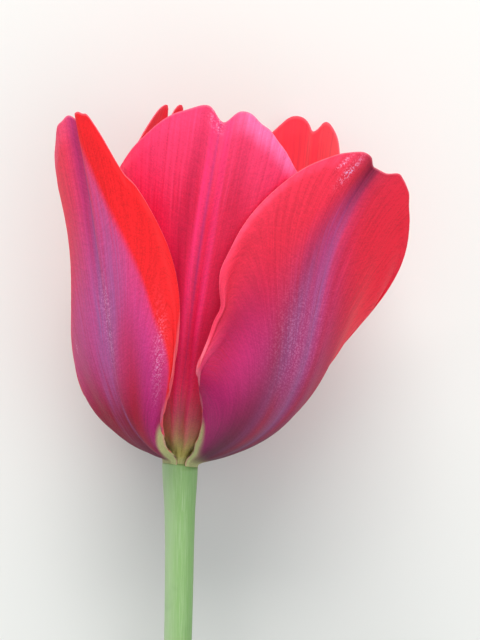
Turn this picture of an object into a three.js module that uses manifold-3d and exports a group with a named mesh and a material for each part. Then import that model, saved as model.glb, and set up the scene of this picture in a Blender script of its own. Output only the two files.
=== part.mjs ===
// A cut tulip lying on a flat surface, its bloom towards +Y and its stem towards -Y.
// Millimetres, +Z up. The origin is on the surface, under the belly of the lowest petal.
import * as THREE from "three";
import Module from "manifold-3d";
import { mergeVertices } from "three/addons/utils/BufferGeometryUtils.js";

// ---- Driving dimensions ----

const BLOOM_BASE = new THREE.Vector3(-6, -48, 28); // where the petals leave the stem
const BLOOM_LEAN = 7; // degrees that the bloom's axis leans from the stem's line towards +X

const PETAL_THICK = 0.8;
const PETAL_ROWS = 16; // cells from base to tip
const PETAL_COLUMNS = 18; // cells from margin to margin

const STEM_SIDES = 14;
const STEM_STEP = 5.5; // between its rings
const STEM_RUN = 208; // along -Y, from the bloom to the cut
const STEM_DROP_RUN = 150; // the part of the run in which it comes down to the surface
const STEM_SWAY = -14; // along X, at the cut
const STEM_CUT = 0.45; // slant of the cut end, run over rise
// [distance from the bloom, radius]
const STEM_RADII = [[1.5, 4.0], [3, 3.95], [6, 3.7], [10, 3.4], [18, 3.2], [40, 3.05], [90, 3.1], [150, 3.5], [208, 3.9]];
// the receptacle that the petals ring: [height on the bloom's axis, radius]
const RECEPTACLE = [[-0.5, 4.0], [-0.4, 3.5], [-0.1, 3.1], [1.25, 3.0], [1.3, 1.6], [2.4, 1.4]];

// [height on the bloom's axis, radius, depth of the three grooves]
const OVARY = [
  [4.1, 1.1, 0], [6, 1.6, 0.04], [9, 2.6, 0.08], [13.5, 3, 0.1], [18, 2.8, 0.1], [22.5, 2.2, 0.12],
  [24.5, 2.1, 0.2], [25.8, 3.1, 0.34], [27, 4.2, 0.42], [28, 4.0, 0.42], [28.4, 2.2, 0.3],
];
const OVARY_SIDES = 24;

// the top of the receptacle, which the stamens grow from: [height on the bloom's axis, radius]
const STAMEN_SEAT = [[2.7, 1.4], [3, 2.1], [3.5, 2.2], [3.75, 1.7]];
const STAMEN_COUNT = 6;
const STAMEN_START = 12; // azimuth of the first, degrees
// line of a stamen as [distance from the bloom's axis, height]
const STAMEN_LINE = [[1.7, 3.15], [4.9, 10], [6.3, 15.5], [6.9, 21], [7.3, 27.5]];
// [share of the line, radius around the bloom, radius towards its axis]
const STAMEN_SECTIONS = [
  [0, 0.55, 0.55], [0.2, 0.75, 0.65], [0.44, 0.4, 0.4], [0.47, 0.95, 0.8], [0.52, 1.5, 1.15],
  [0.66, 1.6, 1.2], [0.84, 1.45, 1.1], [0.95, 1.0, 0.8], [1, 0.45, 0.4],
];
const STAMEN_SIDES = 8;

const LEAF_THICK = 1.0;
const LEAF_ROWS = 26;
const LEAF_COLUMNS = 10;
const LEAF_NODE = 178; // distance from the bloom at which it clasps the stem
const LEAF_LENGTH = 132;
// Seven evenly spaced values from the leaf's base to its tip.
const LEAF_LINE_X = [0, 8.5, 23, 35, 44, 50, 53]; // rib, outwards from the clasped side of the stem
const LEAF_LINE_Z = [0, -0.8, -2.9, -3.2, -3.1, 0.5, 7.5]; // rib, up from the stem's centre line
const LEAF_FACE = [180, 158, 122, 102, 92, 88, 84]; // degrees from +X to +Z that the channel opens to
const LEAF_HALF_WIDTH = [4.4, 7.5, 13, 16.5, 15, 10, 1.2];
const LEAF_CUP = [4.7, 10, 18, 26, 30, 26, 12]; // radius of the channel
const LEAF_WAVE = [1.6, 2.5]; // height of the waves on its margins, and how many there are

// A petal is a strip that grows along a rib. azimuth is the side of the bloom on which the
// rib stands, in degrees from +Z towards +X, and swing turns it further towards the tip.
// profile is the rib's Bezier curve, in [distance from the bloom's axis, height].
// halfWidth, cup and roll are five evenly spaced values from base to tip: half the strip's
// width, the radius that it is bent to across, and its turn about the rib in degrees.
// shoulders are the shares of the length at which the left and right margins round over
// into the tip, squares say how fully they do, and bias shifts width from left to right.
// notch is [depth, width] in shares of the length and half width. crease is [depth, half
// width] of the groove along the rib, and flare turns the margins out. ripple is [height,
// count, start] of the waves on the margins.
const PETALS = {
  outer_petal_left: {
    azimuth: -35.3, swing: -20.5, profile: [[3.7, 0.7], [32.5, 3.1], [25.9, 30.2], [39.8, 73]],
    halfWidth: [3, 10.4, 20.7, 24.7, 15.5], cup: [4.6, 20.8, 23.6, 19.4, 26.1], roll: [0, 0.6, 0, 2.2, 9],
    shoulders: [0.47, 0.52], squares: [1.8, 3], bias: -0.22, skew: -0.01,
    notch: [0.01, 0.1], crease: [0.6, 3], flare: 1.4, ripple: [0.7, 3, 0.2], color: 0xb23a5c,
  },
  outer_petal_right: {
    azimuth: 53.5, swing: 3.1, profile: [[3.7, 0.6], [47.4, 11.7], [19.4, 43.5], [44, 70.3]],
    halfWidth: [3, 23.3, 25.2, 26.3, 18.8], cup: [4.6, 20.6, 24.3, 38.4, 27.6], roll: [0, 5.4, -5.5, -19, -37.6],
    shoulders: [0.37, 0.57], squares: [2.66, 2.66], bias: -0.05, skew: 0,
    notch: [0.03, 0.16], crease: [0.6, 3], flare: 5.4, ripple: [0.8, 4, 0.6], color: 0xc52c4a,
  },
  outer_petal_back: {
    azimuth: 180, swing: 0, profile: [[3.7, 0.5], [33, 2], [33.2, 37], [28.6, 74]],
    halfWidth: [3, 14, 21, 22.5, 19.5], cup: [4.5, 21, 29, 31, 29], roll: [0, 0, 0, 0, 0],
    shoulders: [0.5, 0.5], squares: [2.1, 2.1], bias: 0, skew: 0,
    notch: [0.01, 0.12], crease: [0.5, 3], flare: 0, ripple: [0.6, 3, 0.4], color: 0xb8304c,
  },
  inner_petal_front: {
    azimuth: -4.7, swing: 6.1, profile: [[2.3, 2.1], [18, 6.4], [26, 35], [29.3, 77.7]],
    halfWidth: [1.9, 11.6, 17.6, 28.3, 25.6], cup: [3.4, 13, 18.2, 25.7, 28.4], roll: [0, -3.1, -9.6, -4.1, -3.1],
    shoulders: [0.67, 0.7], squares: [1.89, 1.89], bias: -0.06, skew: -0.01,
    notch: [0.03, 0.1], crease: [0.8, 2.4], flare: -1, ripple: [0.4, 3, 0], color: 0xd8264e,
  },
  inner_petal_left: {
    azimuth: -128.4, swing: 1.5, profile: [[2.3, 2.1], [17, 5.2], [29.6, 35.2], [14.3, 78.6]],
    halfWidth: [1.8, 11.4, 17.3, 20.4, 22.4], cup: [3.4, 17.6, 22.9, 24.7, 21.4], roll: [0, 0, 0, 0, 2],
    shoulders: [0.42, 0.68], squares: [1.5, 1.8], bias: -0.02, skew: 0.03,
    notch: [0.03, 0.05], crease: [0.6, 2.4], flare: 0, ripple: [0.4, 3, 0.3], color: 0xd92a3a,
  },
  inner_petal_right: {
    azimuth: 126.1, swing: 7.3, profile: [[2.3, 2.1], [14.9, 9.4], [30, 42.2], [28.4, 80.2]],
    halfWidth: [1.8, 11.7, 17.6, 21.1, 21.2], cup: [3.4, 17, 23, 24, 22.8], roll: [0, 0, 0, 0.7, 3],
    shoulders: [0.52, 0.53], squares: [2.38, 2.38], bias: 0.05, skew: 0.02,
    notch: [0.033, 0.11], crease: [0.6, 2.4], flare: 0, ripple: [0.4, 3, 0.7], color: 0xd8252f,
  },
};

// ---- Shared shapes ----

const { degToRad, clamp, lerp } = THREE.MathUtils;
const UP = new THREE.Vector3(0, 0, 1);
const BLOOM_AXIS = new THREE.Vector3(0, 1, 0);

// A smooth curve through evenly spaced values, read at a share of the way along them.
function along(values, share) {
  const last = values.length - 1;
  const place = clamp(share, 0, 1) * last;
  const i = Math.min(Math.floor(place), last - 1);
  const f = place - i;
  const b = values[i], c = values[i + 1];
  const a = i > 0 ? values[i - 1] : 2 * b - c;
  const d = i < last - 1 ? values[i + 2] : 2 * c - b;
  return b + 0.5 * f * (c - a + f * (2 * a - 5 * b + 4 * c - d + f * (3 * (b - c) + d - a)));
}

// Straight lines between [place, value] pairs.
function between(pairs, place) {
  const i = clamp(pairs.findIndex((pair) => pair[0] > place), 1, pairs.length - 1);
  const [from, to] = place >= pairs.at(-1)[0] ? pairs.slice(-2) : [pairs[i - 1], pairs[i]];
  return lerp(from[1], to[1], clamp((place - from[0]) / (to[0] - from[0]), 0, 1));
}

// From the bloom's own frame, with its axis on +Y and its base at 0, to the flower's place.
function inBloom(point) {
  return point.applyAxisAngle(UP, -degToRad(BLOOM_LEAN)).add(BLOOM_BASE);
}

// A point at a distance from the bloom's axis, at an azimuth in radians.
function aroundAxis(distance, azimuth, height) {
  return new THREE.Vector3(Math.sin(azimuth) * distance, height, Math.cos(azimuth) * distance);
}

function solid(points, faces) {
  const geometry = new THREE.BufferGeometry();
  geometry.setAttribute("position", new THREE.Float32BufferAttribute(points.flatMap((p) => p.toArray()), 3));
  geometry.setIndex(faces);
  geometry.computeVertexNormals();
  return geometry;
}

// A closed skin over rings of points that each run the same way round, with a fan on each end.
function skin(rings) {
  const sides = rings[0].length;
  const middle = (ring) => ring.reduce((sum, p) => sum.add(p), new THREE.Vector3()).divideScalar(sides);
  const points = [...rings.flat(), middle(rings[0]), middle(rings.at(-1))];
  const start = points.length - 2, end = points.length - 1;
  const at = (ring, side) => ring * sides + (side % sides);
  const faces = [];
  for (let side = 0; side < sides; side++) {
    faces.push(start, at(0, side + 1), at(0, side));
    faces.push(end, at(rings.length - 1, side), at(rings.length - 1, side + 1));
    for (let ring = 0; ring < rings.length - 1; ring++) {
      faces.push(at(ring, side), at(ring, side + 1), at(ring + 1, side + 1));
      faces.push(at(ring, side), at(ring + 1, side + 1), at(ring + 1, side));
    }
  }
  return solid(points, faces);
}

// Several closed pieces that run into each other, joined into one.
const wasm = await Module();
wasm.setup();
function fuse(pieces) {
  const parts = pieces.map((piece) => {
    piece.deleteAttribute("normal");
    const { attributes, index } = mergeVertices(piece);
    const mesh = { numProp: 3, vertProperties: attributes.position.array, triVerts: new Uint32Array(index.array) };
    return new wasm.Manifold(new wasm.Mesh(mesh));
  });
  const joined = parts.reduce((all, part) => all.add(part)).getMesh();
  const geometry = new THREE.BufferGeometry();
  geometry.setAttribute("position", new THREE.BufferAttribute(joined.vertProperties, 3));
  geometry.setIndex(new THREE.BufferAttribute(joined.triVerts, 1));
  geometry.computeVertexNormals();
  return geometry;
}

// A blade of one thickness on both sides of the surface place(up, across), with up from 0 to
// 1 and across from -1 to 1. Where it would sink below the surface that it lies on, it is
// pressed flat. Both faces are split into the same triangles.
function blade(place, rows, columns, thick) {
  const outer = [], inner = [];
  const near = 1e-3;
  for (let i = 0; i <= rows; i++) {
    for (let j = 0; j <= columns; j++) {
      const up = i / rows;
      const across = Math.sin((j / columns - 0.5) * Math.PI);
      const lengthwise = place(Math.min(up + near, 1), across).sub(place(Math.max(up - near, 0), across));
      const crosswise = place(up, Math.min(across + near, 1)).sub(place(up, Math.max(across - near, -1)));
      const normal = crosswise.cross(lengthwise).normalize();
      const front = place(up, across).addScaledVector(normal, thick / 2);
      const rear = place(up, across).addScaledVector(normal, -thick / 2);
      const [low, high] = normal.z > 0 ? [rear, front] : [front, rear];
      low.z = Math.max(low.z, 0);
      high.z = Math.max(high.z, low.z + thick * Math.max(Math.abs(normal.z), 0.5));
      outer.push(front);
      inner.push(rear);
    }
  }
  const wide = columns + 1;
  const other = outer.length;
  const faces = [];
  for (let i = 0; i < rows; i++) {
    for (let j = 0; j < columns; j++) {
      const a = i * wide + j, b = a + 1, c = a + wide, d = c + 1;
      faces.push(a, b, d, a, d, c);
      faces.push(other + a, other + d, other + b, other + a, other + c, other + d);
    }
  }
  // the margin: once round the grid, anticlockwise as seen from the outer face
  const rim = [];
  for (let j = 0; j < columns; j++) rim.push(j);
  for (let i = 0; i < rows; i++) rim.push(i * wide + columns);
  for (let j = columns; j > 0; j--) rim.push(rows * wide + j);
  for (let i = rows; i > 0; i--) rim.push(i * wide);
  rim.forEach((p, k) => {
    const q = rim[(k + 1) % rim.length];
    faces.push(p, other + p, other + q, p, other + q, q);
  });
  return solid([...outer, ...inner], faces);
}

// ---- Petals ----

// Share of the rib's length at which a petal ends, at a place across it.
function crown(petal, across) {
  const side = across < 0 ? 0 : 1;
  const shoulder = petal.shoulders[side];
  const arch = Math.sqrt(Math.max(0, 1 - Math.abs(across) ** petal.squares[side]));
  const dip = petal.notch[0] * Math.exp(-((across / petal.notch[1]) ** 2));
  return (shoulder + (1 - shoulder) * arch) * (1 - dip) * (1 + petal.skew * across);
}

function petalPoint(petal, up, across) {
  const share = up * crown(petal, across);
  const rib = new THREE.CubicBezierCurve(...petal.profile.map(([distance, height]) => new THREE.Vector2(distance, height)));
  const foot = rib.getPoint(share);
  const slope = rib.getTangent(share);
  const azimuth = degToRad(petal.azimuth + petal.swing * share ** 2);

  // across the strip, in the plane square to the rib
  const reach = along(petal.halfWidth, share) * (1 + petal.bias * Math.sign(across)) * across;
  const cup = along(petal.cup, share);
  const [height, count, start] = petal.ripple;
  const margin = Math.abs(across) ** 4 * share;
  const groove = petal.crease[0] * Math.sin(Math.PI * Math.min(share * 1.1, 1)) * Math.exp(-((reach / petal.crease[1]) ** 2));
  const wave = height * Math.sin(2 * Math.PI * (count * up + start + (across < 0 ? 0.5 : 0)));
  const sideways = cup * Math.sin(reach / cup);
  const inwards = cup * (1 - Math.cos(reach / cup)) + groove + margin * (wave - petal.flare);
  const turned = new THREE.Vector2(sideways, inwards).rotateAround(new THREE.Vector2(), degToRad(along(petal.roll, share)));

  const out = aroundAxis(1, azimuth, 0);
  const aside = aroundAxis(1, azimuth + Math.PI / 2, 0);
  const outwards = out.clone().multiplyScalar(slope.y).addScaledVector(BLOOM_AXIS, -slope.x);
  return inBloom(aroundAxis(foot.x, azimuth, foot.y).addScaledVector(aside, turned.x).addScaledVector(outwards, -turned.y));
}

// ---- Stem, with the receptacle that the petals ring, grown as one ----

function stemCentre(run) {
  const rest = between(STEM_RADII, STEM_RUN);
  const drop = run < STEM_DROP_RUN ? (1 + Math.cos((Math.PI * run) / STEM_DROP_RUN)) / 2 : 0;
  return new THREE.Vector3(
    BLOOM_BASE.x + STEM_SWAY * (run / STEM_RUN) ** 2,
    BLOOM_BASE.y - run,
    lerp(rest, BLOOM_BASE.z, drop),
  );
}

function circle(centre, direction, radius, sides) {
  const side = new THREE.Vector3().crossVectors(direction, UP).normalize();
  const over = new THREE.Vector3().crossVectors(side, direction).normalize();
  return Array.from({ length: sides }, (_, k) => {
    const turn = (-2 * Math.PI * k) / sides - Math.PI / 2;
    return centre.clone().addScaledVector(side, Math.cos(turn) * radius).addScaledVector(over, Math.sin(turn) * radius);
  });
}

function stem() {
  const rings = [];
  const runs = STEM_RADII.slice(0, 4).map(([run]) => run);
  while (runs.at(-1) + STEM_STEP < STEM_RUN) runs.push(runs.at(-1) + STEM_STEP);
  runs.push(STEM_RUN);
  for (const run of runs.reverse()) {
    const direction = stemCentre(run - 0.1).sub(stemCentre(run + 0.1)).normalize();
    const ring = circle(stemCentre(run), direction, between(STEM_RADII, run), STEM_SIDES);
    if (run === STEM_RUN) for (const p of ring) p.y -= (stemCentre(run).z - p.z) * STEM_CUT;
    rings.push(ring);
  }
  const axis = BLOOM_AXIS.clone().applyAxisAngle(UP, -degToRad(BLOOM_LEAN));
  for (const [height, radius] of RECEPTACLE) {
    rings.push(circle(inBloom(new THREE.Vector3(0, height, 0)), axis, radius, STEM_SIDES));
  }
  return skin(rings);
}

// ---- Pistil and stamens ----

function pistil() {
  return skin(OVARY.map(([height, radius, groove]) => Array.from({ length: OVARY_SIDES }, (_, k) => {
    const turn = (2 * Math.PI * k) / OVARY_SIDES;
    return inBloom(aroundAxis(radius * (1 - groove * (1 - Math.cos(3 * turn)) / 2), turn, height));
  })));
}

function stamens() {
  const turns = Array.from({ length: STAMEN_COUNT }, (_, i) => degToRad(STAMEN_START + (360 / STAMEN_COUNT) * i));
  const seat = skin(STAMEN_SEAT.map(([height, radius]) => Array.from({ length: OVARY_SIDES }, (_, k) => (
    inBloom(aroundAxis(radius, (2 * Math.PI * k) / OVARY_SIDES, height))
  ))));
  return fuse([seat, ...turns.map(stamen)]);
}

function stamen(azimuth) {
  const line = new THREE.SplineCurve(STAMEN_LINE.map(([distance, height]) => new THREE.Vector2(distance, height)));
  return skin(STAMEN_SECTIONS.map(([share, round, deep]) => {
    const foot = line.getPointAt(share), slope = line.getTangentAt(share);
    return Array.from({ length: STAMEN_SIDES }, (_, k) => {
      const turn = (-2 * Math.PI * k) / STAMEN_SIDES;
      const out = Math.sin(turn) * deep;
      const p = aroundAxis(foot.x + out * slope.y, azimuth, foot.y - out * slope.x);
      return inBloom(p.addScaledVector(aroundAxis(1, azimuth + Math.PI / 2, 0), Math.cos(turn) * round));
    });
  }));
}

// ---- Leaf: clasps the stem, then turns over and lies on the surface beside it ----

function leafPoint(up, across) {
  const node = stemCentre(LEAF_NODE);
  const arch = Math.sqrt(Math.max(0, 1 - Math.abs(across) ** 2.2));
  const share = up * (0.9 + 0.1 * arch);
  const face = degToRad(along(LEAF_FACE, share));
  const cup = along(LEAF_CUP, share);
  const reach = along(LEAF_HALF_WIDTH, share) * across;
  const [height, count] = LEAF_WAVE;
  const wave = height * Math.sin(2 * Math.PI * count * share + (across < 0 ? 2 : 0)) * across ** 4 * Math.min(share * 3, 1);
  const sideways = cup * Math.sin(reach / cup);
  const inwards = cup * (1 - Math.cos(reach / cup)) + wave;
  return new THREE.Vector3(
    node.x + LEAF_CUP[0] + along(LEAF_LINE_X, share) + Math.cos(face) * inwards + Math.sin(face) * sideways,
    node.y + LEAF_LENGTH * share,
    node.z + along(LEAF_LINE_Z, share) + Math.sin(face) * inwards - Math.cos(face) * sideways,
  );
}

// ---- The flower ----

const tulip = new THREE.Group();

function add(name, geometry, color, roughness) {
  const mesh = new THREE.Mesh(geometry, new THREE.MeshStandardMaterial({ color, roughness, metalness: 0 }));
  mesh.name = name;
  tulip.add(mesh);
}

for (const [name, petal] of Object.entries(PETALS)) {
  const place = (up, across) => petalPoint(petal, up, across);
  add(name, blade(place, PETAL_ROWS, PETAL_COLUMNS, PETAL_THICK), petal.color, 0.5);
}
add("stem", stem(), 0x9dbb86, 0.6);
add("leaf", blade(leafPoint, LEAF_ROWS, LEAF_COLUMNS, LEAF_THICK), 0x6f9470, 0.6);
add("pistil", pistil(), 0xb9c97a, 0.6);
add("stamens", stamens(), 0x2c1a2e, 0.8);

export default tulip;
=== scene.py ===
# %% [markdown]
# # A cut tulip, lying on its side
# A tulip bloom is six waxy petals in two rings of three, round a pistil and six stamens, on
# a smooth juicy stem. This notebook dresses a plain model of one: finer pieces of the same
# form, with folds, veins and colour, replace its solids. Lengths are in millimetres until
# they are written into a mesh, which is in metres.

# %% Load the plain model
import math

import bmesh
import bpy
import numpy as np
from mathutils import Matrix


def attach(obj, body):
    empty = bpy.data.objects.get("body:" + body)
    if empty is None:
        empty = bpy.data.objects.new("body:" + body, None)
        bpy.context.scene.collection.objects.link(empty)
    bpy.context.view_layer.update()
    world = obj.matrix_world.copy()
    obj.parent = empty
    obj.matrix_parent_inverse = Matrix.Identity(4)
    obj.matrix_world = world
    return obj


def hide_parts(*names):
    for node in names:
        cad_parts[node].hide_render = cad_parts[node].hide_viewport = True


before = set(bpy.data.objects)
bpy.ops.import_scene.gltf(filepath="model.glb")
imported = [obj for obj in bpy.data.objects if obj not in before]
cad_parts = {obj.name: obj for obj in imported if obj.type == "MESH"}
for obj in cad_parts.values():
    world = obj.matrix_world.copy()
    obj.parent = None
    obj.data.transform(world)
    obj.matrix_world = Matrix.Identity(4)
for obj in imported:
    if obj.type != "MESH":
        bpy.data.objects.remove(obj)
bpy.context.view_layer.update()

# %% [markdown]
# ## Camera
# The flower was seen from the side, standing upright, so the camera looks straight down on
# it as it lies. A long lens from over a metre away gives a flat perspective. Its place
# follows from where the foot of the bloom should be in the picture.

# %% Place the camera
MM = 0.001
PICTURE = (480, 640)
BLOOM_FOOT_PIXEL = (180, 463)
BLOOM_FOOT = (-6.0, -48.0, 28.0)
PIXEL_SIZE = 0.22  # millimetres at the height of the bloom's axis
CAMERA_DISTANCE = 1200.0
SENSOR = 36.0


def add(name, data):
    """Puts a new object into the scene."""
    thing = bpy.data.objects.new(name, data)
    bpy.context.scene.collection.objects.link(thing)
    return thing


camera_data = bpy.data.cameras.new("camera")
camera_data.sensor_width = SENSOR
camera_data.lens = CAMERA_DISTANCE * SENSOR / (PICTURE[1] * PIXEL_SIZE)
camera_data.clip_start, camera_data.clip_end = 0.05, 20.0
camera = add("camera", camera_data)
camera.location = (
    (BLOOM_FOOT[0] + (PICTURE[0] / 2 - BLOOM_FOOT_PIXEL[0]) * PIXEL_SIZE) * MM,
    (BLOOM_FOOT[1] + (BLOOM_FOOT_PIXEL[1] - PICTURE[1] / 2) * PIXEL_SIZE) * MM,
    (BLOOM_FOOT[2] + CAMERA_DISTANCE) * MM,
)
bpy.context.scene.camera = camera
print("lens, mm:", round(camera_data.lens, 1))

# %% [markdown]
# ## Light and floor
# Petals are thin and glow where light falls through them, so the light is wide and soft: a
# pale sky all round, one big lamp over the tips of the petals, and a weaker one opposite.
# The Standard view keeps a saturated red as it is, where a filmic view would fade it.

# %% Light the flower
SKY = (0.92, 0.96, 1.0)
SKY_STRENGTH = 0.58
# name: [place, size, watts, colour]
LAMPS = {
    "key_lamp": [(-60, 900, 620), 900, 15.0, (1.0, 0.99, 0.97)],
    "fill_lamp": [(400, -200, 1000), 900, 3.0, (0.95, 0.98, 1.0)],
}

world = bpy.data.worlds.new("sky")
world.use_nodes = True
background = world.node_tree.nodes["Background"].inputs
background["Color"].default_value = (*SKY, 1)
background["Strength"].default_value = SKY_STRENGTH
bpy.context.scene.world = world
bpy.context.scene.view_settings.view_transform = "Standard"

for lamp_name, (place, size, watts, tint) in LAMPS.items():
    lamp_data = bpy.data.lights.new(lamp_name, "AREA")
    lamp_data.size, lamp_data.energy, lamp_data.color = size * MM, watts, tint
    lamp = add(lamp_name, lamp_data)
    lamp.location = [v * MM for v in place]
    lamp.rotation_euler = (-lamp.location).to_track_quat("-Z", "Y").to_euler()
print("lamps:", ", ".join(LAMPS))

# %% [markdown]
# ## A way to write materials
# A material is a net of nodes. Wiring it by hand hides what it computes, so one small class
# wraps a socket and takes part in arithmetic: `1 - mask * 0.5` adds the Math nodes. The
# other class is a material while it is being made, and adds every other kind of node.

# %% Wrap a socket
class Wire:
    """The output of a node, which adds Math nodes when it is used in arithmetic."""

    def __init__(self, finish, socket):
        self.finish, self.socket = finish, socket

    def math(self, operation, first, second=0.0):
        return self.finish.node("Math", {"operation": operation}, {0: first, 1: second})

    def __abs__(self):
        return self.math("ABSOLUTE", self)

    def within(self, low, high):
        """0 below low and 1 above high, with a smooth step between."""
        settings = {"interpolation_type": "SMOOTHSTEP"}
        sockets = {"Value": self, "From Min": low, "From Max": high}
        return self.finish.node("MapRange", settings, sockets)


# each with its reflected form, so that `1 - mask` works
OPERATORS = {"add": "ADD", "sub": "SUBTRACT", "mul": "MULTIPLY", "truediv": "DIVIDE"}
for sign, kind in OPERATORS.items():
    setattr(Wire, f"__{sign}__", lambda self, other, kind=kind: self.math(kind, self, other))
    setattr(Wire, f"__r{sign}__", lambda self, other, kind=kind: self.math(kind, other, self))


class Finish:
    """A material while it is being made."""

    def __init__(self, name):
        self.material = bpy.data.materials.new(name)
        self.material.use_nodes = True
        self.tree = self.material.node_tree
        self.tree.nodes.clear()

    def node(self, kind, settings=None, sockets=None, output=0):
        """Adds a node with its settings, then the values or links of its sockets."""
        node = self.tree.nodes.new("ShaderNode" + kind)
        for key, value in (settings or {}).items():
            if key == "stops":
                self.set_stops(node.color_ramp.elements, value)
            else:
                setattr(node, key, value)
        for key, value in (sockets or {}).items():
            if isinstance(value, Wire):
                self.tree.links.new(value.socket, node.inputs[key])
            else:
                node.inputs[key].default_value = value
        return Wire(self, node.outputs[output]) if len(node.outputs) else None

    def set_stops(self, elements, stops):
        """The colours of a ramp, each with its place from 0 to 1."""
        for number, (place, colour) in enumerate(stops):
            stop = elements[number] if number < 2 else elements.new(place)
            stop.position, stop.color = place, colour

    def ramp(self, place, stops):
        return self.node("ValToRGB", {"stops": stops}, {0: place})

    def reading(self, name):
        """A number that the mesh carries under this name."""
        return self.node("Attribute", {"attribute_name": name}, output="Fac")

    def mix(self, base, paint, amount):
        """base painted over with paint, as far as amount says."""
        return self.node("Mix", {"data_type": "RGBA"}, {0: amount, 6: base, 7: paint}, output=2)

    def noise(self, place, scale, detail, roughness):
        sockets = {"Vector": place, "Scale": scale, "Detail": detail, "Roughness": roughness}
        return self.node("TexNoise", None, sockets, output="Fac")

    def grain(self, scale, detail, roughness=0.6):
        """Even noise, with so many blobs in a metre."""
        return self.noise(self.node("TexCoord", output="Object"), scale, detail, roughness)

    def streaks(self, x, y, z, detail, roughness=0.6):
        """Noise on a place that is stretched, so that its blobs become streaks."""
        place = self.node("CombineXYZ", None, {0: x, 1: y, 2: z})
        return self.noise(place, 1.0, detail, roughness)

    def shade(self, colour, value):
        """The colour, darker or lighter by value."""
        return self.node("HueSaturation", None, {"Color": colour, "Value": value})

    def bump(self, height, strength, distance):
        """Fine relief, with its distance in metres."""
        return self.node("Bump", None, {"Strength": strength, "Distance": distance, "Height": height})

    def close(self, colour, roughness, bump=None, through=0.0, more=None):
        """Ends the net with a skin that lets some light through, and gives the material."""
        relief = {"Normal": bump} if bump else {}
        sockets = {"Base Color": colour, "Roughness": roughness, **relief, **(more or {})}
        shader = self.node("BsdfPrincipled", None, sockets)
        if through:
            glow = self.node("BsdfTranslucent", None, {"Color": colour, **relief})
            shader = self.node("MixShader", None, {0: through, 1: shader, 2: glow})
        self.node("OutputMaterial", None, {"Surface": shader})
        return self.material


# %% [markdown]
# Paints are given as they look on a screen, from 0 to 255, and turned into the linear
# light that a shader works in.

# %% Turn a screen colour into light
def paint(red, green, blue):
    def linear(value):
        value /= 255
        return value / 12.92 if value <= 0.04045 else ((value + 0.055) / 1.055) ** 2.4

    return (linear(red), linear(green), linear(blue), 1.0)


# %% [markdown]
# ## The floor
# A plain pale sheet, big enough to fill the picture from every side.

# %% Lay the floor
FLOOR_SIZE = 6.0


def to_mesh(bm, name):
    """The mesh that a finished bmesh holds."""
    mesh = bpy.data.meshes.new(name)
    bm.to_mesh(mesh)
    bm.free()
    return mesh


bm = bmesh.new()
bmesh.ops.create_grid(bm, x_segments=1, y_segments=1, size=FLOOR_SIZE / 2)
floor = add("floor", to_mesh(bm, "floor"))
floor.data.materials.append(Finish("pale_floor").close(paint(222, 222, 218), roughness=0.8))
print("floor, m:", FLOOR_SIZE)


# %% [markdown]
# ## Shapes that grow along a line
# Petals, leaf and stem all grow along a line, and change in width and bend as they go. A
# handful of evenly spaced values says how, and a smooth curve runs through them. A Bezier
# curve is a good midrib: its four points are the foot, the belly, the shoulder and the tip.
# A value that stays the same all the way is written once instead of as a list.

# %% Curves through a few values
def along(values, share):
    """A smooth curve through evenly spaced values, read at a share of the way along them."""
    values = np.asarray(values, float)
    if values.ndim == 0:
        return np.full_like(share, values)
    last = len(values) - 1
    place = np.clip(share, 0, 1) * last
    i = np.minimum(place.astype(int), last - 1)
    f = place - i
    padded = np.array([2 * values[0] - values[1], *values, 2 * values[-1] - values[-2]])
    a, b, c, d = (padded[i + k] for k in range(4))
    return b + 0.5 * f * (c - a + f * (2 * a - 5 * b + 4 * c - d + f * (3 * (b - c) + d - a)))


def bezier(points, share):
    """Places on a Bezier curve in a plane."""
    rest = 1 - share
    weights = [rest**3, 3 * rest**2 * share, 3 * rest * share**2, share**3]
    return sum(w[:, None] * p for w, p in zip(weights, np.asarray(points, float)))


def step(low, high, values):
    """0 below low and 1 above high, with a smooth step between."""
    share = np.clip((values - low) / (high - low), 0, 1)
    return share * share * (3 - 2 * share)


def hill(values, middle, half_width):
    """1 at the middle, and falling off to both sides."""
    return np.exp(-(((values - middle) / half_width) ** 2))


# %% [markdown]
# The bloom has an axis of its own, which leans a little from the stem's line. Its parts are
# placed round that axis first, and then turned and moved to the end of the stem.

# %% Places in the bloom
BLOOM_LEAN = math.radians(7.0)


def around_axis(distance, azimuth, height):
    """Points at a distance from the bloom's axis. Azimuth 0 is up, and grows towards +X."""
    x, z = np.sin(azimuth) * distance, np.cos(azimuth) * distance
    return np.stack([x, height + 0 * distance, z], -1)


def in_bloom(points):
    """From the bloom's own frame, its axis along +Y, to the flower's place."""
    x, y, z = points[..., 0], points[..., 1], points[..., 2]
    turned_x = x * math.cos(BLOOM_LEAN) + y * math.sin(BLOOM_LEAN)
    turned_y = -x * math.sin(BLOOM_LEAN) + y * math.cos(BLOOM_LEAN)
    return np.stack([turned_x, turned_y, z], -1) + np.array(BLOOM_FOOT)


# %% [markdown]
# ## Six petals
# A petal is a strip that grows along its midrib. `azimuth` is the side of the bloom where
# the rib stands and `swing` turns it on towards the tip. `half_width`, `cup` and `roll` are
# five values from base to tip: half the strip's width, the radius it is bent to across, and
# its turn about the rib. `shoulders` are where the left and right margins round over into
# the tip, `squares` how fully, and `notch` the dip at the end of the rib: its depth and half
# its width. `bias` makes one half wider and `skew` one side taller. `crease` is the groove
# along the rib, `flare` turns the margins out and `ripple` waves them.
# The rest is finer than the plain model: `fold` pinches the tip along its rib, `ridges` are
# two raised lines beside the rib, and `seed` starts the small unevenness. `dips` lower or
# raise the rim: place across, half width, amount. `lobes` swell a margin: side, height as a
# share of the length, half width, amount. What a petal doesn't name is as in EVEN.

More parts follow.
